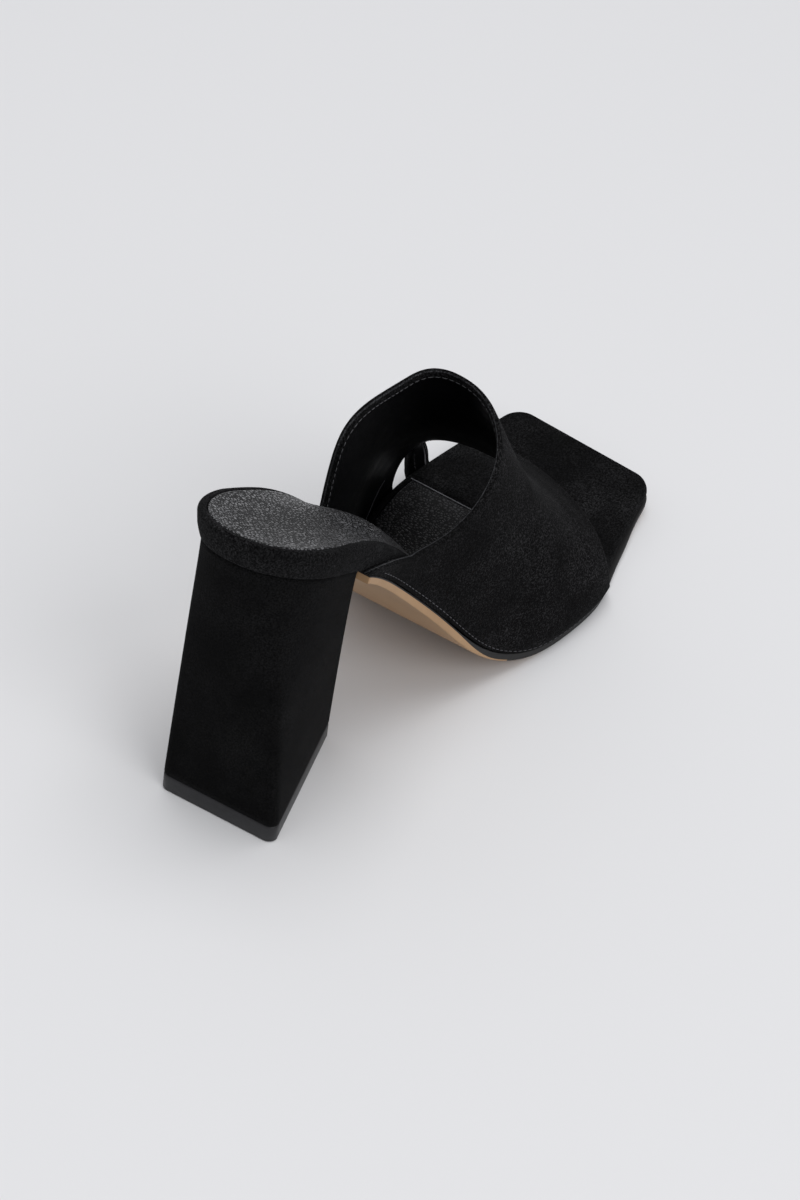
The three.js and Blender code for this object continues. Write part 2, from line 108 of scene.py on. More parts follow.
def throughRows(xs, ys):  # smooth curve through rows, without overshoot
    xs, ys = np.asarray(xs, float), np.asarray(ys, float)
    rates = np.diff(ys) / np.diff(xs)
    slopes = np.concatenate([rates[:1], np.zeros(len(xs) - 2), rates[-1:]])
    before, after = rates[:-1], rates[1:]
    same = before * after > 0
    slopes[1:-1] = np.where(same, 2 * before * after / np.where(same, before + after, 1), 0)

    def curve(x):
        at = np.clip(x, xs[0], xs[-1])
        i = np.clip(np.searchsorted(xs, at, "left") - 1, 0, len(xs) - 2)
        width = xs[i + 1] - xs[i]
        t = (at - xs[i]) / width
        blend = t * t * (3 - 2 * t)
        ends = t * (1 - t) ** 2 * width * slopes[i] + t * t * (t - 1) * width * slopes[i + 1]
        return ys[i] * (1 - blend) + ys[i + 1] * blend + ends
    return curve


def eased(xs, ys, reach):  # the same curve with its bends eased over a reach
    curve = throughRows(xs, ys)
    low, high = xs[0], xs[-1]

    def carried(x):
        under = 2 * curve(low) - curve(2 * low - x)
        over = 2 * curve(high) - curve(2 * high - x)
        return np.where(x < low, under, np.where(x > high, over, curve(x)))
    weights = [(-1, 1), (-0.5, 2), (0, 2), (0.5, 2), (1, 1)]
    return lambda x: sum(w / 8 * carried(np.asarray(x, float) + at * reach) for at, w in weights)


alongReach = 0.045  # how far the bends are eased, as a share of the length
archReach = 0.0675
bandReach = 10  # the same over the foot, in degrees
wallTurn = 10  # the turns past the sole's edge that stand for the board's side, in degrees
riseShare, springShare, boardShare, leanShare, crownShare = (
    eased(sideRows[:, 0], sideRows[:, k], alongReach) for k in (1, 2, 3, 4, 5))
archShare, tiltShare = (eased(archRows[:, 0], archRows[:, k], archReach) for k in (1, 2))
bandBack, bandFront = (eased(bandRows[:, 0], bandRows[:, k], bandReach) for k in (1, 2))
planStations = [row[0] for row in planRows]
outerWidth = eased(planStations, [last[row[1]] * row[2] for row in planRows], alongReach)
innerWidth = eased(planStations, [last[row[1]] * row[3] for row in planRows], alongReach)


def smooth(x, low, high):  # eases from 0 at low to 1 at high
    t = np.clip((x - low) / (high - low), 0, 1)
    return t * t * (3 - 2 * t)


def bedHeight(x):
    u = x / length
    return ballHeight + riseShare(u) * (last["seatHeight"] - ballHeight) + springShare(u) * last["toeSpring"]


def bedSlope(x):
    low, high = np.maximum(x - 0.5, 0), np.minimum(x + 0.5, length)
    return np.arctan((bedHeight(low) - bedHeight(high)) / (high - low))


def bedThickness(x):
    return last["board"] + (last["rim"] - last["board"]) * boardShare(x / length)


def halfWidth(side, x, grow):  # from the middle line to the outline, on the outer or inner side
    seatRound, power = last["seatRound"] * length, last["seatPower"]
    away = np.minimum((seatRound - np.minimum(x, seatRound)) / (seatRound + grow), 1)
    seat = (last["seatWidth"] / 2 + grow) * (1 - away ** power) ** (1 / power)
    radius = last["toeCorner"] + grow
    intoCorner = np.maximum(x - (length + grow - radius), 0)
    cornerLoss = radius - np.sqrt(np.maximum(radius ** 2 - intoCorner ** 2, 0))
    width = np.where(side < 0, outerWidth(x / length), innerWidth(x / length)) + grow - cornerLoss
    return np.where(x < seatRound, seat, width)


# Where the heel stands, in millimetres and degrees
heelSet = {"back": 8.5, "front": 54.8, "backHalf": 19.4, "frontOuter": 6.9, "frontInner": 10.4, "turn": 2}
originX = (heelSet["back"] + heelSet["front"]) / 2


def place(x, y, lift, tilt=None):  # a point in metres, from its place along, across and above the footbed
    x = np.asarray(x, float)
    slope = bedSlope(x)
    lean = slope * leanShare(x / length) if tilt is None else tilt
    reach = lift / np.cos(slope - lean)
    skew = math.tan(last["toeSlant"] * degree) * smooth(x / length, last["slantFrom"], 1)
    parts = (x + skew * y + reach * np.sin(lean) - originX, y, bedHeight(x) + reach * np.cos(lean))
    return np.stack(np.broadcast_arrays(*parts), -1) * mm


def bandPoint(turn, share, grow):  # a point of the band: turn over the foot, share from collar to front edge
    turn, share = np.asarray(turn, float), np.asarray(share, float)
    x = length * (bandBack(turn) * (1 - share) + bandFront(turn) * share)
    side = np.where(turn < 90, -1, 1)
    half = halfWidth(side, x, grow)
    past = np.maximum(np.maximum(-turn, turn - 180), 0) / wallTurn
    low = place(x, side * (half - last["tuck"] * np.minimum(past, 1) ** 2), -past * bedThickness(x))
    angle = np.clip(turn, 0, 180) * degree
    across = np.abs(np.cos(angle)) ** last["sideFullness"]
    above = np.maximum(np.sin(angle), 0) ** last["topFullness"]
    tilt = tiltShare(x / length) * last["instepTilt"] * degree
    height = (archShare(x / length) * last["instepHeight"] + grow) * np.cos(bedSlope(x) - tilt)
    top = place(x, side * half * across + last["crownShift"] * np.sin(angle) ** 2, height * above, tilt)
    return np.where((past > 0)[..., None], low, top)


# Mesh helpers
def addMesh(name, points, faces, materials, slots=None, sharp=False):
    mesh = bpy.data.meshes.new(name)
    mesh.from_pydata([tuple(p) for p in np.asarray(points).reshape(-1, 3)], [], faces)
    for material in materials:
        mesh.materials.append(material)
    if slots is not None:
        mesh.polygons.foreach_set("material_index", slots)
    mesh.polygons.foreach_set("use_smooth", [not sharp] * len(mesh.polygons))
    mesh.validate()
    mesh.update()
    piece = bpy.data.objects.new(name, mesh)
    bpy.context.collection.objects.link(piece)
    return piece


def gridFaces(rows, columns, start=0, closed=False, flip=False):
    faces = []
    for i in range(rows - 1):
        for j in range(columns if closed else columns - 1):
            k = (j + 1) % columns
            quad = (start + i * columns + j, start + i * columns + k,
                    start + (i + 1) * columns + k, start + (i + 1) * columns + j)
            faces.append(quad[::-1] if flip else quad)
    return faces


def cleaned(piece, distance=2e-6):  # merges doubled points, drops thin faces and turns the rest outwards
    work = bmesh.new()
    work.from_mesh(piece.data)
    bmesh.ops.remove_doubles(work, verts=work.verts, dist=distance)
    bmesh.ops.dissolve_degenerate(work, edges=work.edges, dist=distance)
    bmesh.ops.recalc_face_normals(work, faces=work.faces)
    work.to_mesh(piece.data)
    work.free()
    piece.data.update()
    return piece


bedSteps = {"along": 110, "across": 25, "cornerTurn": 7.5, "seatFrom": 87, "seatTurn": 3}


def bedStations(grow, back, front):  # places along the shoe, from its front end to its back end
    seatRound, corner = last["seatRound"] * length, last["toeCorner"]
    xs = []
    flatFront = length - corner if front is None else front
    if front is None:
        xs += list(flatFront + (corner + grow) * np.sin(np.arange(90, 0, -bedSteps["cornerTurn"]) * degree))
    flatBack = seatRound if back is None else back
    xs += list(np.linspace(flatFront, flatBack, bedSteps["along"]))
    if back is None:
        turned = np.arange(bedSteps["seatFrom"], -0.1, -bedSteps["seatTurn"])
        xs += list(seatRound - (seatRound + grow) * np.cos(turned * degree))
    return np.array(xs)


def bedGrid(grow, lift, back=None, front=None, dish=0, widen=None):  # one layer that follows the footbed
    xs = bedStations(grow, back, front)[:, None]
    shares = np.sin(np.linspace(-90, 90, bedSteps["across"]) * degree)[None, :]
    half = halfWidth(np.where(shares < 0, -1, 1), xs, grow) + (0 if widen is None else widen(xs))
    liftHere = lift(xs) if callable(lift) else lift
    inward = 1 - shares ** 2
    cup = last["cup"] * (1 - smooth(xs / length, *last["cupFades"]))
    sunk = dish * (cup * inward - last["crown"] * crownShare(xs / length) * inward ** 2)
    return place(xs + 0 * shares, shares * half, liftHere - sunk)


def rimLoop(grid):  # the border of a grid: outer side, back end, inner side, front end
    rows, columns = grid.shape[:2]
    return np.concatenate([grid[:, 0], grid[-1, 1:], grid[-2::-1, -1], grid[0, -2:0:-1]])


def firstSlot(k, x=0):
    return 0


def stackPiece(name, levels, materials, slotOf=firstSlot):  # closed piece from layers, underside first
    grids = [bedGrid(**level) for level in levels]
    bottom, top = grids[0], grids[-1]
    rows, columns = bottom.shape[:2]
    points = [bottom.reshape(-1, 3), top.reshape(-1, 3)]
    faces = gridFaces(rows, columns) + gridFaces(rows, columns, rows * columns, flip=True)
    cells = (rows - 1) * (columns - 1)
    slots = [slotOf(0)] * cells + [slotOf(len(levels) - 1)] * cells
    loops = [rimLoop(grid) for grid in grids]
    count = len(loops[0])
    start = 2 * rows * columns
    for k, loop in enumerate(loops):
        points.append(loop)
        if k > 0:
            faces += gridFaces(2, count, start + (k - 1) * count, closed=True)
            slots += [slotOf(k - 0.5, x) for x in loop[:, 0] / mm + originX]
    return cleaned(addMesh(name, np.concatenate(points), faces, materials, slots))


def endCaps(rows, columns, start=0):  # the faces that close both ends of a stack of rings
    end = start + (rows - 1) * columns
    return [tuple(range(start, start + columns)), tuple(range(end, end + columns))[::-1]]


def ringPiece(name, rings, materials):  # closed piece from rings, lowest first
    rows, columns = rings.shape[:2]
    faces = gridFaces(rows, columns, closed=True) + endCaps(rows, columns)
    return cleaned(addMesh(name, rings, faces, materials))


# Node materials: a socket wrapper whose operators add Math nodes
class Wire:
    def __init__(self, shade, socket):
        self.shade = shade
        self.socket = socket

    def join(self, operation, other, swapped=False):
        pair = [other, self] if swapped else [self, other]
        return self.shade.node("ShaderNodeMath", {"operation": operation}, dict(enumerate(pair)))[0]

    def __add__(self, other):
        return self.join("ADD", other)

    def __radd__(self, other):
        return self.join("ADD", other, True)

    def __sub__(self, other):
        return self.join("SUBTRACT", other)

    def __rsub__(self, other):
        return self.join("SUBTRACT", other, True)

    def __mul__(self, other):
        return self.join("MULTIPLY", other)

    def __rmul__(self, other):
        return self.join("MULTIPLY", other, True)


class Shade:
    def __init__(self, name, look):
        self.material = bpy.data.materials.new(name)
        self.material.use_nodes = True
        self.tree = self.material.node_tree
        self.shader = self.tree.nodes["Principled BSDF"]
        for socket, value in look.items():
            self.shader.inputs[socket].default_value = value
        red, green, blue = look["Base Color"][:3]
        self.material.diffuse_color = (red, green, blue, 1)

    def node(self, kind, settings, inputs):  # adds a node and gives its outputs, wrapped
        made = self.tree.nodes.new(kind)
        for key, value in settings.items():
            if key == "stops":
                ramp = made.color_ramp
                for i, (at, shade) in enumerate(value):
                    stop = ramp.elements[i] if i < 2 else ramp.elements.new(at)
                    stop.position = at
                    stop.color = (shade, shade, shade, 1)
            else:
                setattr(made, key, value)
        for key, value in inputs.items():
            self.feed(made.inputs[key], value)
        return [Wire(self, out) for out in made.outputs]

    def feed(self, socket, value):
        if isinstance(value, Wire):
            self.tree.links.new(value.socket, socket)
        else:
            socket.default_value = value

    def place(self):
        return self.node("ShaderNodeTexCoord", {}, {})[3]

    def noise(self, scale, detail=2.0, rough=0.5, stretch=None):
        at = self.place()
        if stretch:
            at = self.node("ShaderNodeVectorMath", {"operation": "MULTIPLY"}, {0: at, 1: stretch})[0]
        return self.node("ShaderNodeTexNoise", {}, {"Vector": at, "Scale": scale, "Detail": detail,
                                                    "Roughness": rough})[0]

    def ramp(self, value, stops):
        return self.node("ShaderNodeValToRGB", {"stops": stops}, {0: value})[0]

    def mixColour(self, factor, first, second):
        outs = self.node("ShaderNodeMix", {"data_type": "RGBA"}, {0: factor, 6: first, 7: second})
        return outs[2]

    def bump(self, height, strength, distance):
        normal = self.node("ShaderNodeBump", {}, {"Height": height, "Strength": strength,
                                                  "Distance": distance})[0]
        self.feed(self.shader.inputs["Normal"], normal)

    def colour(self, value):
        self.feed(self.shader.inputs["Base Color"], value)

    def roughness(self, value):
        self.feed(self.shader.inputs["Roughness"], value)


suedeLook = {
    "dark": (0.0009, 0.0009, 0.0010, 1), "light": (0.062, 0.061, 0.064, 1), "roughness": 0.95,
    "specular": 0.06, "sheen": 0.015, "sheenRoughness": 0.4, "sheenTint": (0.5, 0.51, 0.55, 1),
    "napScale": 1800, "speck": (0.48, 0.72), "cloudScale": 42, "cloud": (0.38, 0.64), "cloudLeast": 0.1,
    "cloudShare": 0.65, "brushScale": 170, "brushStretch": (0.5, 1.0, 1.0), "brushBump": 0.5,
    "bump": 0.6, "depth": 0.0004,
}
# a lighter copy of the suede for the crest of the fold: painted highlight along the folded edge
foldHighlightLook = dict(suedeLook, dark=(0.012, 0.012, 0.013, 1), light=(0.16, 0.16, 0.17, 1), sheen=0.2)
# a darker copy of the suede for the footbed: painted shade, for the footbed lying in the band's shadow
shadedBedLook = dict(suedeLook, light=(0.045, 0.045, 0.047, 1), speck=(0.44, 0.72))
# a darker copy of the suede for the heel: painted shade, since the heel's upright faces get less light; its
# nap is also finer
heelShadeLook = dict(suedeLook, light=(0.017, 0.017, 0.0175, 1), speck=(0.40, 0.72), napScale=1900, bump=0.4)


def suede(name, look):
    shade = Shade(name, {"Base Color": look["dark"], "Roughness": look["roughness"],
                         "Specular IOR Level": look["specular"], "Sheen Weight": look["sheen"],
                         "Sheen Roughness": look["sheenRoughness"], "Sheen Tint": look["sheenTint"]})
    nap = shade.noise(look["napScale"], 4.0, 0.75)
    speckFrom, speckTo = look["speck"]
    speck = shade.ramp(nap, [(speckFrom, 0.0), (speckTo, 1.0)])
    cloudFrom, cloudTo = look["cloud"]
    clouded = shade.noise(look["cloudScale"], 4.0, 0.6)
    cloud = shade.ramp(clouded, [(cloudFrom, look["cloudLeast"]), (cloudTo, 1.0)])
    brushed = shade.noise(look["brushScale"], 3.0, 0.6, stretch=look["brushStretch"])
    amount = speck * (cloud * look["cloudShare"] + brushed * (1 - look["cloudShare"]))
    shade.colour(shade.mixColour(amount, look["dark"], look["light"]))
    shade.bump(nap + brushed * look["brushBump"], look["bump"], look["depth"])
    return shade.material


# Pebbled leather with a painted sheen: darkest in the middle of the seat and lightest round the seat's edge
leatherLook = {
    "dark": (0.0020, 0.0020, 0.0024, 1), "light": (0.17, 0.17, 0.178, 1), "gain": 1.6, "specular": 0.2,
    "pebble": 900, "wander": 810, "wobble": 0.45, "dome": (0.10, 0.28), "grainScale": 260, "grainBump": 0.4,
    "roughness": 0.24, "groove": 0.3, "bump": 1.0, "depth": 0.0001,
    "middle": (-0.0010, 0.0, 0.11), "reach": (0.0625, 0.035, 0.125),
    "paintedSheenTones": [(0.12, 0.2), (0.42, 1.0), (0.8, 0.4)],
}


def pebbledLeather(name, look):
    shade = Shade(name, {"Base Color": look["dark"], "Roughness": look["roughness"],
                         "Specular IOR Level": look["specular"]})
    at = shade.place()
    wander = shade.node("ShaderNodeTexNoise", {}, {"Vector": at, "Scale": look["wander"], "Detail": 2.0})[1]
    shifted = shade.node("ShaderNodeMix", {"data_type": "RGBA", "blend_type": "ADD"},
                         {0: look["wobble"] / look["pebble"], 6: at, 7: wander})[2]
    cells = shade.node("ShaderNodeTexVoronoi", {"feature": "DISTANCE_TO_EDGE"},
                       {"Vector": shifted, "Scale": look["pebble"]})[0]
    domeFrom, domeTo = look["dome"]
    dome = shade.ramp(cells, [(domeFrom, 0.0), (domeTo, 1.0)])
    grain = shade.noise(look["grainScale"], 3.0, 0.6)
    # painted sheen: the colour grows lighter with distance from the seat's middle, as reflected light would
    # make it
    offset = shade.node("ShaderNodeVectorMath", {"operation": "SUBTRACT"}, {0: at, 1: look["middle"]})[0]
    share = shade.node("ShaderNodeVectorMath", {"operation": "DIVIDE"}, {0: offset, 1: look["reach"]})[0]
    apart = shade.node("ShaderNodeVectorMath", {"operation": "LENGTH"}, {0: share})[1]
    tone = shade.ramp(apart, look["paintedSheenTones"])
    shade.colour(shade.mixColour(dome * grain * tone * look["gain"], look["dark"], look["light"]))
    shade.roughness(look["roughness"] + look["groove"] - dome * look["groove"])
    shade.bump(dome + grain * look["grainBump"], look["bump"], look["depth"])
    return shade.material


liningLook = {
    "dark": (0.0012, 0.0012, 0.0015, 1), "light": (0.0035, 0.0035, 0.0042, 1), "specular": 0.16,
    "roughness": 0.34, "roughDrop": 0.1, "roughSpread": 0.3, "creaseScale": 120, "poreScale": 1800,
    "poreBump": 0.25, "bump": 0.35, "depth": 0.0005,
}


def smoothLining(name, look):
    shade = Shade(name, {"Base Color": look["dark"], "Roughness": look["roughness"],
                         "Specular IOR Level": look["specular"]})
    crease = shade.noise(look["creaseScale"], 4.0, 0.6)
    pore = shade.noise(look["poreScale"], 2.0, 0.6)
    shade.colour(shade.mixColour(crease, look["dark"], look["light"]))
    shade.roughness(crease * look["roughSpread"] + (look["roughness"] - look["roughDrop"]))
    shade.bump(crease + pore * look["poreBump"], look["bump"], look["depth"])
    return shade.material


soleLook = {
    "tone": (0.45, 0.28, 0.145, 1), "shade": (0.36, 0.215, 0.108, 1), "fibre": (0.36, 0.23, 0.14, 1),
    "roughness": 0.5, "specular": 0.3, "cloudScale": 38, "cloud": (0.35, 0.75), "fibreScale": 500,
    "fibreStretch": (0.2, 1.0, 1.0), "fibreShare": 0.3, "scuffScale": 90, "scuff": (0.60, 0.78),
    "scuffStretch": (0.35, 1.0, 1.0), "scuffShare": 0.25, "bump": 0.2, "depth": 0.0002,
}


def soleLeather(name, look):
    shade = Shade(name, {"Base Color": look["tone"], "Roughness": look["roughness"],
                         "Specular IOR Level": look["specular"]})
    cloudFrom, cloudTo = look["cloud"]
    cloud = shade.ramp(shade.noise(look["cloudScale"], 4.0, 0.6), [(cloudFrom, 0.0), (cloudTo, 1.0)])
    fibre = shade.noise(look["fibreScale"], 4.0, 0.65, stretch=look["fibreStretch"])
    scuffFrom, scuffTo = look["scuff"]
    scuffed = shade.noise(look["scuffScale"], 5.0, 0.7, stretch=look["scuffStretch"])
    scuff = shade.ramp(scuffed, [(scuffFrom, 0.0), (scuffTo, 1.0)])
    tone = shade.mixColour(cloud, look["tone"], look["shade"])
    worn = fibre * look["fibreShare"] + scuff * look["scuffShare"]
    shade.colour(shade.mixColour(worn, tone, look["fibre"]))
    shade.bump(fibre + scuff, look["bump"], look["depth"])
    return shade.material


# Finishes with one fine grain: colour, how much lighter the grain is, roughness, grain scale and depth
plainLooks = {
    "liningEdge": ((0.10, 0.10, 0.108), 3.0, 0.6, 900, 0.0001),
    "soleEdge": ((0.0025, 0.0024, 0.0025), 4.0, 0.62, 700, 0.0003),
    "topPieceRubber": ((0.004, 0.004, 0.0046), 5.0, 0.45, 420, 0.0003),
    "thread": ((0.06, 0.06, 0.064), 2.0, 0.6, 3000, 0.00005),
    "faintThread": ((0.045, 0.045, 0.05), 2.0, 0.6, 3000, 0.00005),
}
plainGrain = {"specular": 0.4, "roughSpread": 0.2, "bump": 0.3}


def plainFinish(name):
    colour, lift, roughness, grainScale, depth = plainLooks[name]
    lighter = tuple(min(c * lift, 1) for c in colour)
    shade = Shade(name, {"Base Color": colour + (1,), "Roughness": roughness,
                         "Specular IOR Level": plainGrain["specular"]})
    grain = shade.noise(grainScale, 3.0, 0.6)
    shade.colour(shade.mixColour(grain, colour + (1,), lighter + (1,)))
    shade.roughness(grain * plainGrain["roughSpread"] + (roughness - plainGrain["roughSpread"] / 2))
    shade.bump(grain, plainGrain["bump"], depth)
    return shade.material


suedeMaterial = suede("suede", suedeLook)
foldHighlightMaterial = suede("suedeFoldHighlight", foldHighlightLook)
leatherMaterial = pebbledLeather("sockLeather", leatherLook)
liningMaterial = smoothLining("liningLeather", liningLook)
cutEdgeMaterial = plainFinish("liningEdge")
beigeMaterial = soleLeather("outsoleLeather", soleLook)
edgeMaterial = plainFinish("soleEdge")
rubberMaterial = plainFinish("topPieceRubber")
threadMaterial = plainFinish("thread")
faintThreadMaterial = plainFinish("faintThread")
shadedBedSuedeMaterial = suede("footbedSuedePaintedShade", shadedBedLook)
shadedHeelSuedeMaterial = suede("heelSuedePaintedShade", heelShadeLook)
print("materials made")


# Insole: suede wrapped over a padded board, with a rolled edge
insole = {"rolled": 1.8, "rollTurns": (0, 18, 36, 54, 72, 90), "sideSteps": (0.96, 0.88, 0.76, 0.6),
          "rimWidth": 2.6, "rimDrop": 0.02, "recess": 1.3, "recessWall": 0.05,
          "sockEnd": 162.2, "sockEase": 0.4}


def underBed(down):
    return lambda x: -down * bedThickness(x)


def sockFloor(x):
    return -insole["recess"] * (1 - smooth(x, insole["sockEnd"], insole["sockEnd"] + insole["sockEase"]))


insoleLevels = [dict(grow=-last["tuck"], lift=underBed(1))]
insoleLevels += [dict(grow=-last["tuck"] * down ** 2, lift=underBed(down)) for down in insole["sideSteps"]]
shoulder = last["tuck"] * (insole["rolled"] / last["board"]) ** 2
for turned in insole["rollTurns"]:
    inward = shoulder + (insole["rolled"] - shoulder) * (1 - math.cos(turned * degree))
    insoleLevels.append(dict(grow=-inward, lift=-insole["rolled"] * (1 - math.sin(turned * degree))))
insoleLevels.append(dict(grow=-insole["rimWidth"], lift=-insole["rimDrop"]))
insoleLevels.append(dict(grow=-insole["rimWidth"] - insole["recessWall"], lift=sockFloor, dish=1))
insolePiece = stackPiece("insoleWrap", insoleLevels, [shadedBedSuedeMaterial])
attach(insolePiece, "root")
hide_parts("insole")
print("insole made")


# Sock: pebbled leather pad let into the insole, with a dished seat
sock = {"inset": 2.9, "end": 161.9, "fill": 0.9}
sockRows = [(0.1, -1.0, 1), (0, -0.8, 0), (0, -0.35, 0), (0.15, -0.12, 0), (0.4, -0.02, 0), (0.7, 0.0, 1)]
sockLevels = []
for inward, lift, dish in sockRows:  # how far in from the pad's side, how high, and whether it is dished
    sockLevels.append(dict(grow=-sock["inset"] - inward, lift=lift, front=sock["end"], dish=dish))
sockPiece = stackPiece("sockPad", sockLevels, [leatherMaterial])
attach(sockPiece, "root")
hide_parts("sock")
print("sock made")


# Outsole: beige leather underside and a dark painted edge
outsole = {"ledge": 0.9, "ledgeEnd": 0.94, "ledgeEase": 0.08, "bevel": 0.5, "back": 42.8,
           "dark": 0.5, "darkLip": 0.12, "waistStrip": 0.1, "ball": 111, "ballEase": 18}


def soleLedge(x):
    return outsole["ledge"] * smooth(outsole["ledgeEnd"] - x / length, 0, outsole["ledgeEase"])


def soleLift(drop):
    return lambda x: -bedThickness(x) - last["gap"] - drop


def darkDrop(x):  # the dark edge deepens in front of the waist
    whole = last["sole"] - outsole["bevel"] - outsole["waistStrip"]
    deeper = smooth(x, outsole["ball"] - outsole["ballEase"], outsole["ball"])
    return outsole["dark"] + (whole - outsole["dark"]) * deeper


soleLevels = [  # from the underside up: how far out, and how far below the footbed
    dict(grow=-1.1, lift=soleLift(last["sole"])),
    dict(grow=-0.5, lift=soleLift(last["sole"])),
    dict(grow=-0.2, lift=soleLift(last["sole"] - 0.12)),
    dict(grow=0, lift=soleLift(last["sole"] - outsole["bevel"])),
    dict(grow=0, lift=lambda x: soleLift(0)(x) - darkDrop(x)),
    dict(grow=outsole["darkLip"], lift=soleLift(outsole["dark"] * 0.7)),
    dict(grow=outsole["darkLip"], lift=soleLift(outsole["dark"] * 0.35)),
    dict(grow=-0.3, lift=soleLift(0)),
]
for level in soleLevels:
    level.update(back=outsole["back"], widen=soleLedge)


def soleSlot(k, x=0):  # beige below, and up the side as far as the ball
    beigeLayers = 4 if x < outsole["ball"] else 1
    return 0 if k < beigeLayers else 1


outsolePiece = stackPiece("outsoleLeather", soleLevels, [beigeMaterial, edgeMaterial], soleSlot)
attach(outsolePiece, "root")
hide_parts("outsole")
print("outsole made")


# Heel: suede cover, round under the seat and cornered at the floor, on a rubber top piece
heel = {"breast": 40.2, "inset": 2, "corner": 2.6, "topPiece": 5.9, "bevel": 0.5, "bow": 0.9,
        "sideSteps": 26, "cornerSteps": 6, "backSteps": 22, "levels": 44, "cornerAngle": 42,
        "backAngle": 34, "lastAngle": 0.8, "groove": 0.4, "grooveSpread": 6}


def heelFoot(grow):  # the foot's outline, from the outer breast corner round the back to the inner one
    back, front = heelSet["back"] - grow, heelSet["front"] + grow
    corner = heel["corner"]
    outline = []
    for sign, frontHalf in ((-1, heelSet["frontOuter"] + grow), (1, heelSet["frontInner"] + grow)):
        backHalf = heelSet["backHalf"] + grow
        turnIn = (backHalf - frontHalf) / (front - back)
        points = []
        for x in np.linspace(front, back + corner, heel["sideSteps"]):
            points.append((x, sign * (backHalf - turnIn * (x - back))))
        sideY = backHalf - turnIn * corner
        for k in range(1, heel["cornerSteps"]):
            a = k / heel["cornerSteps"] * math.pi / 2
            points.append((back + corner * (1 - math.sin(a)), sign * (sideY - corner * (1 - math.cos(a)))))
        for k in range(heel["backSteps"]):
            points.append((back, sign * (sideY - corner) * (1 - k / (heel["backSteps"] - 0.5))))
        outline.append(points if sign < 0 else points[::-1])
    outline = np.array(outline[0] + outline[1])
    outline[:, 0] -= math.tan(heelSet["turn"] * degree) * outline[:, 1]
    return outline


def heelHead(inset):  # the seat's outline, with as many points
    seatRound = last["seatRound"] * length
    cornerX = seatRound - (seatRound - inset) * math.cos(heel["cornerAngle"] * degree)
    xs = list(np.linspace(heel["breast"], cornerX, heel["sideSteps"]))
    angles = list(np.linspace(heel["cornerAngle"], heel["backAngle"], heel["cornerSteps"] + 1))[1:]
    angles += list(np.linspace(heel["backAngle"], heel["lastAngle"], heel["backSteps"]))[1:]
    xs += [seatRound - (seatRound - inset) * math.cos(a * degree) for a in angles]
    xs = np.array(xs)
    outer = np.stack([xs, -halfWidth(-1, xs, -inset)], 1)
    inner = np.stack([xs, halfWidth(1, xs, -inset)], 1)
    return np.concatenate([outer, inner[::-1]])


head, foot = heelHead(heel["inset"]), heelFoot(0)
top = place(head[:, 0], head[:, 1], -bedThickness(head[:, 0]) - last["gap"])
footHeight = np.full(len(foot), heel["topPiece"] + last["gap"])
footAt = np.stack([foot[:, 0] - originX, foot[:, 1], footHeight], 1) * mm
levels = []
for k in range(heel["levels"] + 1):
    down = 1 - k / heel["levels"]
    ring = top * (1 - down) + footAt * down
    ring[:, 1] = top[:, 1] * (1 - down ** heel["bow"]) + footAt[:, 1] * down ** heel["bow"]
    levels.append(ring)
sunk = heel["groove"] / heel["grooveSpread"]  # the top turns in under the rim
levels[-1] = levels[-1] * (1 - sunk) + levels[-2] * sunk
tucked = heelHead(heel["inset"] + heel["groove"])
levels.append(place(tucked[:, 0], tucked[:, 1], -bedThickness(tucked[:, 0]) - last["gap"]))
levels = np.array(levels)
heelCover = ringPiece("heelCover", levels, [shadedHeelSuedeMaterial])
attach(heelCover, "root")
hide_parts("heel_block")

bevel, tall = heel["bevel"], heel["topPiece"]
ringRows = [(-bevel, 0), (-0.2, 0.12), (0, bevel), (0, tall - 0.7), (-0.12, tall - 0.15), (-0.4, tall)]
rings = []
for grow, z in ringRows:  # how far out, and how high
    outline = heelFoot(grow)
    rings.append(np.column_stack([outline[:, 0] - originX, outline[:, 1], np.full(len(outline), z)]) * mm)
topPiece = ringPiece("heelTopPiece", np.array(rings), [rubberMaterial])
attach(topPiece, "root")
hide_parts("heel_top_piece")
print("heel made")


# Upper: suede folded over at its edges and laid over a thinner lining inside
upper = {"turns": 150, "wallSteps": 9, "suedeColumns": 84, "liningColumns": 60, "liningEnds": (0.01, 0.99),
         "foldSteps": 8, "highlightStep": 4, "fold": 1.9, "step": 0.25, "cutEdge": 0.34}
cut = {"rear": 157, "front": 166.2, "height": 13, "lean": 3.2, "shoulder": 0.8, "steps": 14,
       "below": 1, "from": 0.2, "to": 0.7}

# Soft ridges and troughs of the suede: turn, share, reach over the foot, reach along, height in millimetres
creases = [
    (62, 0.86, 60, 0.05, 0.30),
    (70, 0.55, 26, 0.22, -0.45),
    (28, 0.45, 20, 0.20, 0.40),
    (45, 0.22, 16, 0.10, -0.30),
    (12, 0.72, 14, 0.12, -0.35),
    (105, 0.50, 30, 0.30, 0.35),
    (5, 0.30, 9, 0.10, 0.30),
    (150, 0.40, 22, 0.25, -0.30),
]
creaseFade = {"outer": (-6, 8), "inner": 186, "innerEase": 12, "backEase": 0.06, "frontEase": 0.03}


def bodyOnly(turn):  # the creases fade where the band goes under the footbed
    innerSide = smooth(creaseFade["inner"] - turn, 0, creaseFade["innerEase"])
    return smooth(turn, *creaseFade["outer"]) * innerSide


def creaseLift(turn, share):
    lift = 0
    for turnAt, shareAt, over, along, height in creases:
        lift = lift + height * np.exp(-((turn - turnAt) / over) ** 2 - ((share - shareAt) / along) ** 2)
    edges = smooth(share, 0.0, creaseFade["backEase"]) * smooth(1 - share, 0.0, creaseFade["frontEase"])
    return lift * edges * bodyOnly(turn)


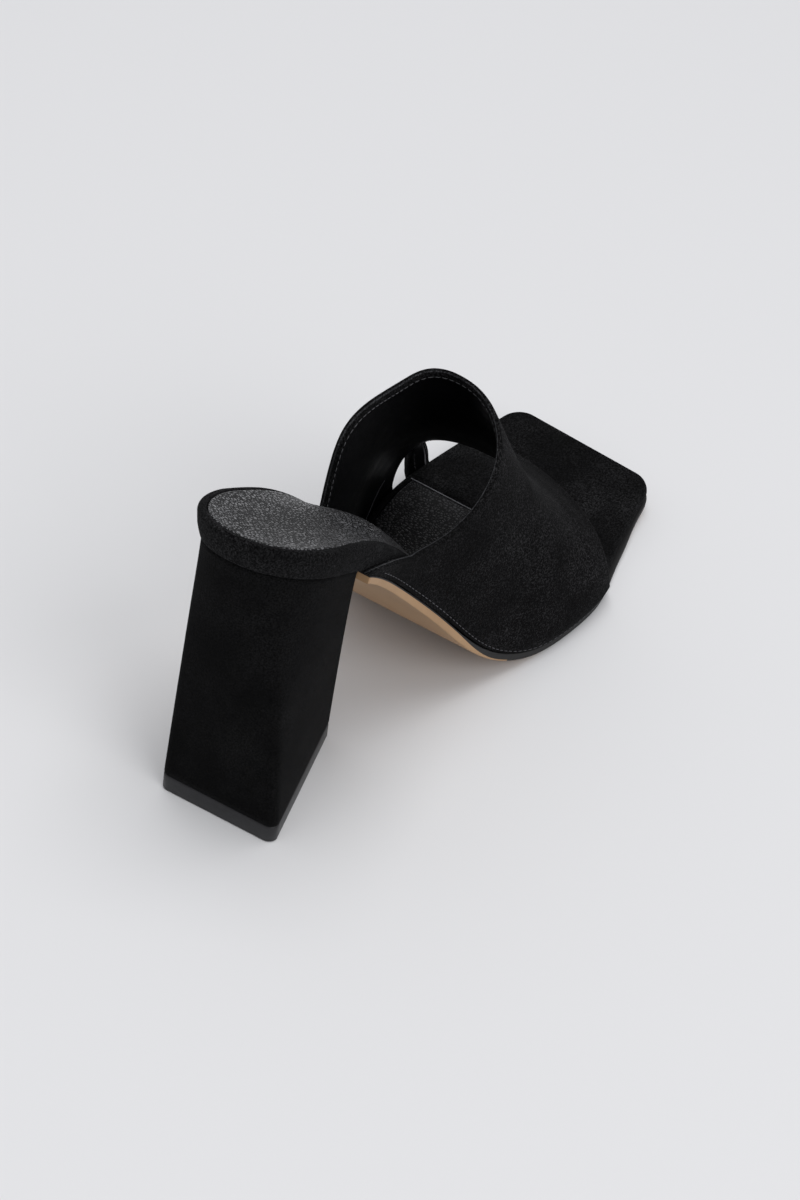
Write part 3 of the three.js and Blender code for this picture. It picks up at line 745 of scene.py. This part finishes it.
def bandTurns():
    wall = np.linspace(-wallTurn, 0, upper["wallSteps"])[:-1]
    over = np.linspace(0, 180, upper["turns"])
    return np.concatenate([wall, over, 180 - wall[::-1]])


turns = bandTurns()


def bandSize(turn):
    return length * (bandFront(turn) - bandBack(turn))


def awayShare(turn, away, front=False):  # the share that lies this many millimetres from an edge
    share = away / bandSize(turn)
    return 1 - share if front else share


radius = last["wall"] / 2
inside = last["gap"]
outside = last["gap"] + last["wall"]
section = []


def column(share, grow, slot):  # slot is the material of the strip that follows
    section.append((bandPoint(turns, share, grow), slot))


def foldArc(front):
    for k in range(1, upper["foldSteps"]):
        a = k / upper["foldSteps"] * math.pi
        swing = math.cos(a) if front else -math.cos(a)
        # the lighter strip is a painted highlight along the folded edge
        slot = 3 if k == upper["highlightStep"] else 0  # one lighter strip along the fold
        column(awayShare(turns, radius * (1 - math.sin(a)), front), inside + radius * (1 - swing), slot)


liningFrom = awayShare(turns, upper["fold"] + upper["cutEdge"])
liningTo = awayShare(turns, upper["fold"] + upper["cutEdge"], True)
column(awayShare(turns, radius), inside, 0)
column(awayShare(turns, upper["fold"]), inside, 2)
column(liningFrom, inside + upper["step"], 1)
for s in np.linspace(*upper["liningEnds"], upper["liningColumns"]):
    column(liningFrom * (1 - s) + liningTo * s, inside + upper["step"], 1)
column(liningTo, inside + upper["step"], 2)
column(awayShare(turns, upper["fold"], True), inside, 0)
column(awayShare(turns, radius, True), inside, 0)
foldArc(True)
suedeFrom, suedeTo = awayShare(turns, radius), awayShare(turns, radius, True)
for s in np.linspace(1, 0, upper["suedeColumns"]):
    share = suedeFrom * (1 - s) + suedeTo * s
    column(share, outside + creaseLift(turns, share), 0)
foldArc(False)
band = np.stack([points for points, slot in section], 1)
rows, columns = band.shape[:2]
faces = gridFaces(rows, columns, closed=True)
slots = [slot for points, slot in section] * (rows - 1) + [0, 0]
upperMaterials = [suedeMaterial, liningMaterial, cutEdgeMaterial, foldHighlightMaterial]
faces += endCaps(rows, columns)
upperPiece = cleaned(addMesh("upperBand", band, faces, upperMaterials, slots), distance=1e-6)


def cutterPiece():  # the arched opening beside the inner strap
    bed = float(bedHeight(cut["rear"]))
    arch = []
    for t in np.linspace(0, 1, cut["steps"]):
        a = (cut["front"] - cut["lean"], bed + cut["height"])
        b = (cut["rear"] + cut["lean"] / 2, bed + cut["shoulder"] * cut["height"])
        c = (cut["rear"], bed)
        arch.append(tuple((1 - t) ** 2 * a[k] + 2 * t * (1 - t) * b[k] + t * t * c[k] for k in (0, 1)))
    outline = [(cut["rear"], -cut["below"]), (cut["front"], -cut["below"]), (cut["front"], bed)] + arch
    points = []
    for y in (cut["from"] * last["ballWidth"], cut["to"] * last["ballWidth"]):
        points += [((x - originX) * mm, y * mm, z * mm) for x, z in outline]
    n = len(outline)
    sides = [(k, (k + 1) % n, n + (k + 1) % n, n + k) for k in range(n)]
    return cleaned(addMesh("cutShape", points, sides + [tuple(range(n)), tuple(range(n, 2 * n))[::-1]], []))


cutShape = cutterPiece()
carve = upperPiece.modifiers.new("carve", "BOOLEAN")
carve.operation = "DIFFERENCE"
carve.object = cutShape
carve.solver = "EXACT"
bpy.context.view_layer.update()
carved = bpy.data.meshes.new_from_object(upperPiece.evaluated_get(bpy.context.evaluated_depsgraph_get()))
upperPiece.modifiers.clear()
upperPiece.data = carved
bpy.data.objects.remove(cutShape)
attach(upperPiece, "root")
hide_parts("upper")
print("upper made")


# Stitches, cords and seams
def alongPath(points, step):  # points and directions at even steps along a path
    parts = np.linalg.norm(np.diff(points, axis=0), axis=1)
    at = np.concatenate([[0], np.cumsum(parts)])
    places = np.arange(0, at[-1], step)
    return np.stack([np.interp(places, at, points[:, k]) for k in range(3)], 1)


def ringAround(centre, direction, upward, wide, high, sides):
    across = np.cross(direction, upward)
    angles = np.arange(sides) / sides * 2 * math.pi
    return [centre + across * wide * math.cos(a) + upward * high * math.sin(a) for a in angles]


# One stitch: share of its length, thickness and lift
stitchShape = [(0, 0.25, -0.5), (0.12, 0.8, 0.1), (0.5, 1, 0.35), (0.88, 0.8, 0.1), (1, 0.25, -0.5)]
threadSides = 6
cordSides = 8


def stitchRow(name, path, upward, material, size):
    places = alongPath(path, size["pitch"] * mm)
    ups = alongPath(path + upward * mm, size["pitch"] * mm)[:len(places)]
    points, faces = [], []
    for k in range(min(len(places), len(ups)) - 1):
        toward = places[k + 1] - places[k]
        toward = toward / np.linalg.norm(toward)
        up = ups[k] - places[k]
        up = up - toward * up.dot(toward)
        up = up / np.linalg.norm(up)
        start = len(points)
        for share, grow, lift in stitchShape:
            centre = places[k] + toward * share * size["length"] * mm + up * lift * size["thick"] / 2 * mm
            radius = grow * size["thick"] / 2 * mm
            points += ringAround(centre, toward, up, radius, radius, threadSides)
        faces += gridFaces(len(stitchShape), threadSides, start, closed=True)
        faces += [cap[::-1] for cap in endCaps(len(stitchShape), threadSides, start)]
    row = cleaned(addMesh(name, points, faces, [material]), distance=1e-7)
    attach(row, "root")


def cord(name, path, upward, material, wide, high):  # thin closed bead along a path
    points = []
    for k in range(len(path)):
        toward = path[min(k + 1, len(path) - 1)] - path[max(k - 1, 0)]
        toward = toward / np.linalg.norm(toward)
        up = upward[k] - toward * upward[k].dot(toward)
        up = up / np.linalg.norm(up)
        points += ringAround(path[k], toward, up, wide / 2 * mm, high / 2 * mm, cordSides)
    faces = gridFaces(len(path), cordSides, closed=True)
    faces += [cap[::-1] for cap in endCaps(len(path), cordSides)]
    bead = cleaned(addMesh(name, points, faces, [material]), distance=1e-7)
    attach(bead, "root")


def bandPath(turnList, share, grow):  # a path on the band and the direction out of it
    on = bandPoint(turnList, share, grow)
    out = bandPoint(turnList, share, grow + 0.5) - on
    return on, out / np.linalg.norm(out, axis=1)[:, None]


stitches = {
    "collar": {"away": 1.35, "pitch": 2.1, "length": 1.6, "thick": 0.26, "turns": (-5, 187), "steps": 500},
    "front": {"away": 1.35, "pitch": 2.1, "length": 1.6, "thick": 0.26, "turns": (-5, 187), "steps": 500},
    "strap": {"away": 1.6, "pitch": 2.3, "length": 1.7, "thick": 0.36, "turns": (183, 165), "steps": 60},
    "feather": {"turn": -8.6, "shares": (0.06, 0.97), "pitch": 2.4, "length": 1.6, "thick": 0.26,
                "steps": 300},
}
threadSunk = 0.02
for name, front in (("collar", False), ("front", True)):
    size = stitches[name]
    overFoot = np.linspace(*size["turns"], size["steps"])
    line, out = bandPath(overFoot, awayShare(overFoot, size["away"], front), inside - threadSunk)
    stitchRow(name + "Stitches", line, -out, threadMaterial, size)

size = stitches["strap"]
strapTurns = np.linspace(*size["turns"], size["steps"])
strapX = cut["front"] + size["away"] - cut["lean"] * np.linspace(0, 1, size["steps"])
strapShare = (strapX / length - bandBack(strapTurns)) / (bandFront(strapTurns) - bandBack(strapTurns))
line, out = bandPath(strapTurns, strapShare, inside + upper["step"] - threadSunk)
stitchRow("strapStitches", line, -out, threadMaterial, size)

# painted highlight: this row of light stitches stands in for glints along the top of the sole's dark edge
size = stitches["feather"]
featherShares = np.linspace(*size["shares"], size["steps"])
line, out = bandPath(np.full(size["steps"], size["turn"]), featherShares, outside)
stitchRow("featherGlintStitches", line, out, faintThreadMaterial, size)

seams = {
    "sock": {"at": 162.05, "lift": 0.06, "inset": 2.3, "wide": 0.42, "high": 0.34, "steps": 60},
    "lining": {"turns": (187, 172), "shares": (0.60, 0.76), "wide": 0.40, "high": 0.36, "steps": 40},
}
size = seams["sock"]
shares = np.linspace(-1, 1, size["steps"])
across = np.full(size["steps"], size["at"])
half = halfWidth(np.where(shares < 0, -1, 1), across, -size["inset"])
line = place(across, shares * half, size["lift"])
upwards = np.tile((0, 0, 1.0), (size["steps"], 1))
cord("sockSeam", line, upwards, cutEdgeMaterial, size["wide"], size["high"])

size = seams["lining"]
seamTurns = np.linspace(*size["turns"], size["steps"])
line, out = bandPath(seamTurns, np.linspace(*size["shares"], size["steps"]), inside + upper["step"])
cord("liningSeam", line, out, faintThreadMaterial, size["wide"], size["high"])
print("stitches and seams made")


# Floor, lights and camera
floorSet = {"size": 6.0, "colour": (0.72, 0.72, 0.73, 1), "roughness": 0.9, "specular": 0.1}
floorShade = Shade("studioFloor", {"Base Color": floorSet["colour"], "Roughness": floorSet["roughness"],
                                   "Specular IOR Level": floorSet["specular"]})
half = floorSet["size"] / 2
floor = addMesh("studioFloor", [(-half, -half, 0), (half, -half, 0), (half, half, 0), (-half, half, 0)],
                [(0, 1, 2, 3)], [floorShade.material], sharp=True)

sky = {"colour": (0.93, 0.94, 0.97, 1), "strength": 0.48}
world = bpy.data.worlds.new("studio")
world.use_nodes = True
world.node_tree.nodes["Background"].inputs[0].default_value = sky["colour"]
world.node_tree.nodes["Background"].inputs[1].default_value = sky["strength"]
bpy.context.scene.world = world

lights = {
    "key": {"at": (0.1, -0.1, 2.8), "aim": (0.06, 0, 0.03), "wide": 1.9, "high": 1.9, "power": 41},
    "fill": {"at": (-0.7, -1.9, 1.8), "aim": (0.05, 0, 0.05), "wide": 1.6, "high": 1.6, "power": 20},
    "strip": {"at": (2.2, 1.2, 0.13), "aim": (0.0, 0, 0.10), "wide": 1.8, "high": 0.22, "power": 1.6},
}
for name, light in lights.items():
    data = bpy.data.lights.new(name, "AREA")
    data.energy = light["power"]
    data.shape = "RECTANGLE"
    data.size = light["wide"]
    data.size_y = light["high"]
    lamp = bpy.data.objects.new(name, data)
    lamp.location = light["at"]
    lamp.rotation_euler = (Vector(light["aim"]) - Vector(light["at"])).to_track_quat("-Z", "Y").to_euler()
    bpy.context.collection.objects.link(lamp)

# The photo's view: angles in degrees, lens and place in millimetres
view = {"turn": 26.71, "down": 41.22, "roll": 8.76, "lens": 90, "sensor": 36,
        "from": (-498.0, -301.9, 605.4)}
turn, down, roll = (view[k] * degree for k in ("turn", "down", "roll"))
forward = Vector((math.cos(turn) * math.cos(down), math.sin(turn) * math.cos(down), -math.sin(down)))
right = forward.cross(Vector((0, 0, 1))).normalized()
upward = right.cross(forward)
rolledRight = right * math.cos(roll) + upward * math.sin(roll)
rolledUp = upward * math.cos(roll) - right * math.sin(roll)
cameraData = bpy.data.cameras.new("camera")
cameraData.lens = view["lens"]
cameraData.sensor_width = view["sensor"]
cameraData.sensor_fit = "AUTO"
camera = bpy.data.objects.new("camera", cameraData)
placed = Matrix((rolledRight, rolledUp, -forward)).transposed().to_4x4()
placed.translation = (Vector(view["from"]) - Vector((originX, 0, 0))) * mm
camera.matrix_world = placed
bpy.context.collection.objects.link(camera)
bpy.context.scene.camera = camera
bpy.context.scene.view_settings.view_transform = "Standard"
print("floor, lights and camera made")
